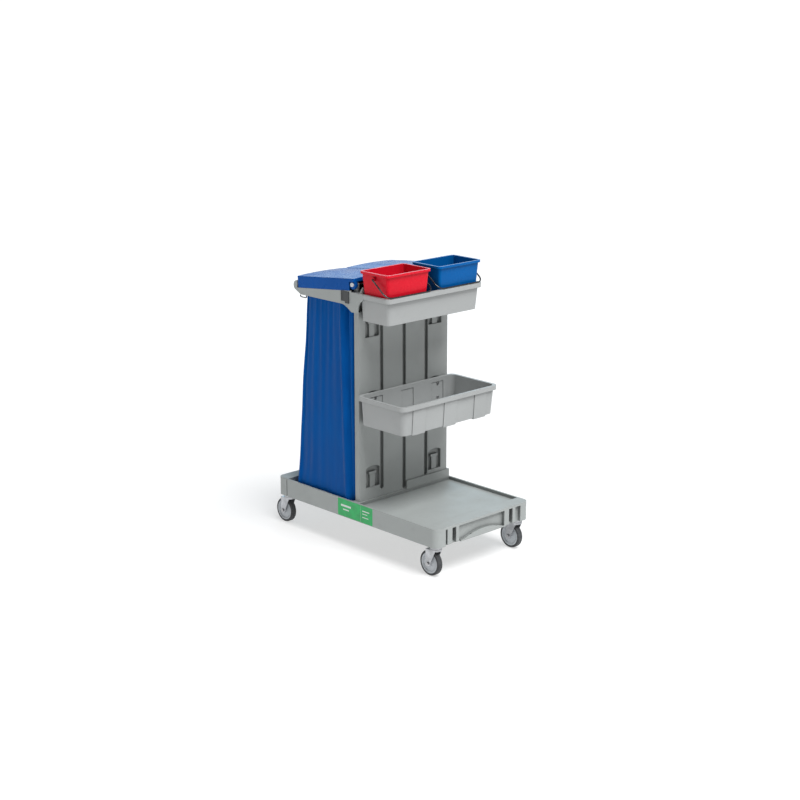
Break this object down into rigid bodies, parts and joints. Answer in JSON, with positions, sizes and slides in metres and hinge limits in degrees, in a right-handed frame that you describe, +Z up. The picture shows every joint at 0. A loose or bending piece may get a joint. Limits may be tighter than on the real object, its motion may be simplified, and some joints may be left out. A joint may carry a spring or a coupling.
{
  "type": "housekeeping cart",
  "caption": "Grey plastic housekeeping cart on casters with a front deck, a centre panel, trays, a red and a blue bucket, and blue bags under hinged lids.",
  "frame": {"origin": "on the floor, at the centre of the outline seen from above", "axes": "+X is the front (the deck end), +Z is up, +Y is to the left of someone facing the front"},
  "size_m": [0.958, 0.518, 1.115],
  "materials": {
    "grey_plastic": "moulded grey plastic, fine grain",
    "light_plastic": "moulded light grey plastic",
    "label_green": "plain green plate, no lettering",
    "blue_plastic": "moulded blue plastic",
    "red_plastic": "moulded red plastic",
    "bag_fabric": "coated blue bag cloth",
    "grey_rubber": "grey rubber tyre",
    "black_wire": "black coated wire",
    "dark_plastic": "dark grey plastic",
    "zinc_steel": "zinc-plated pressed steel",
    "bright_steel": "plain steel"
  },
  "bodies": {
    "cart": {"base": "grey_plastic", "side_label": "label_green", "panel": "grey_plastic", "panel_bolts": "bright_steel", "lower_tray": "light_plastic", "tray_brackets": "grey_plastic", "bracket_screws": "bright_steel", "top_frame": "grey_plastic", "frame_screws": "bright_steel", "upper_tray": "light_plastic", "tray_screws": "bright_steel", "arm_clips": "dark_plastic", "handle_hooks": "black_wire", "hinge_rod": "bright_steel", "rod_caps": "light_plastic", "bag_hoop_near": "bright_steel", "bag_hoop_far": "bright_steel", "bag_near": "bag_fabric", "bag_far": "bag_fabric", "caster_fl_mount": "zinc_steel", "caster_fr_mount": "zinc_steel", "caster_rl_mount": "zinc_steel", "caster_rr_mount": "zinc_steel"},
    "caster_fl_swivel": {"caster_fl_fork": "zinc_steel", "caster_fl_axle": "bright_steel"},
    "caster_fl_roll": {"caster_fl_wheel": "light_plastic", "caster_fl_tyre": "grey_rubber"},
    "caster_fr_swivel": {"caster_fr_fork": "zinc_steel", "caster_fr_axle": "bright_steel"},
    "caster_fr_roll": {"caster_fr_wheel": "light_plastic", "caster_fr_tyre": "grey_rubber"},
    "caster_rl_swivel": {"caster_rl_fork": "zinc_steel", "caster_rl_axle": "bright_steel"},
    "caster_rl_roll": {"caster_rl_wheel": "light_plastic", "caster_rl_tyre": "grey_rubber"},
    "caster_rr_swivel": {"caster_rr_fork": "zinc_steel", "caster_rr_axle": "bright_steel"},
    "caster_rr_roll": {"caster_rr_wheel": "light_plastic", "caster_rr_tyre": "grey_rubber"},
    "lid_near": {"lid_near": "blue_plastic"},
    "lid_far": {"lid_far": "blue_plastic"},
    "bucket_red": {"bucket_red": "red_plastic"},
    "bail_red": {"bail_red": "black_wire"},
    "bucket_blue": {"bucket_blue": "blue_plastic"},
    "bail_blue": {"bail_blue": "black_wire"}
  },
  "joints": [
    {"name": "caster_fl_turn", "type": "hinge", "parent": "cart", "child": "caster_fl_swivel", "pos_m": [0.443, -0.221, 0.11], "axis": [0, 0, 1], "continuous": true},
    {"name": "caster_fl_spin", "type": "hinge", "parent": "caster_fl_swivel", "child": "caster_fl_roll", "pos_m": [0.419, -0.221, 0.05], "axis": [0, 1, 0], "continuous": true},
    {"name": "caster_fr_turn", "type": "hinge", "parent": "cart", "child": "caster_fr_swivel", "pos_m": [0.443, 0.221, 0.11], "axis": [0, 0, 1], "continuous": true},
    {"name": "caster_fr_spin", "type": "hinge", "parent": "caster_fr_swivel", "child": "caster_fr_roll", "pos_m": [0.419, 0.221, 0.05], "axis": [0, 1, 0], "continuous": true},
    {"name": "caster_rl_turn", "type": "hinge", "parent": "cart", "child": "caster_rl_swivel", "pos_m": [-0.405, -0.221, 0.11], "axis": [0, 0, 1], "continuous": true},
    {"name": "caster_rl_spin", "type": "hinge", "parent": "caster_rl_swivel", "child": "caster_rl_roll", "pos_m": [-0.429, -0.221, 0.05], "axis": [0, 1, 0], "continuous": true},
    {"name": "caster_rr_turn", "type": "hinge", "parent": "cart", "child": "caster_rr_swivel", "pos_m": [-0.405, 0.221, 0.11], "axis": [0, 0, 1], "continuous": true},
    {"name": "caster_rr_spin", "type": "hinge", "parent": "caster_rr_swivel", "child": "caster_rr_roll", "pos_m": [-0.429, 0.221, 0.05], "axis": [0, 1, 0], "continuous": true},
    {"name": "lid_near_hinge", "type": "hinge", "parent": "cart", "child": "lid_near", "pos_m": [0.019, -0.128, 1.056], "axis": [0, 1, 0], "range_deg": [0, 97]},
    {"name": "lid_far_hinge", "type": "hinge", "parent": "cart", "child": "lid_far", "pos_m": [0.019, 0.128, 1.056], "axis": [0, 1, 0], "range_deg": [0, 97]},
    {"name": "bucket_red_lift", "type": "slide", "parent": "cart", "child": "bucket_red", "axis": [0, 0, 1], "range_m": [0, 0.13]},
    {"name": "bail_red_swing", "type": "hinge", "parent": "bucket_red", "child": "bail_red", "pos_m": [0.1335, -0.135, 1.093], "axis": [0, 1, 0], "range_deg": [-165, 0]},
    {"name": "bucket_blue_lift", "type": "slide", "parent": "cart", "child": "bucket_blue", "axis": [0, 0, 1], "range_m": [0, 0.13]},
    {"name": "bail_blue_swing", "type": "hinge", "parent": "bucket_blue", "child": "bail_blue", "pos_m": [0.1335, 0.135, 1.093], "axis": [0, 1, 0], "range_deg": [-165, 0]}
  ]
}
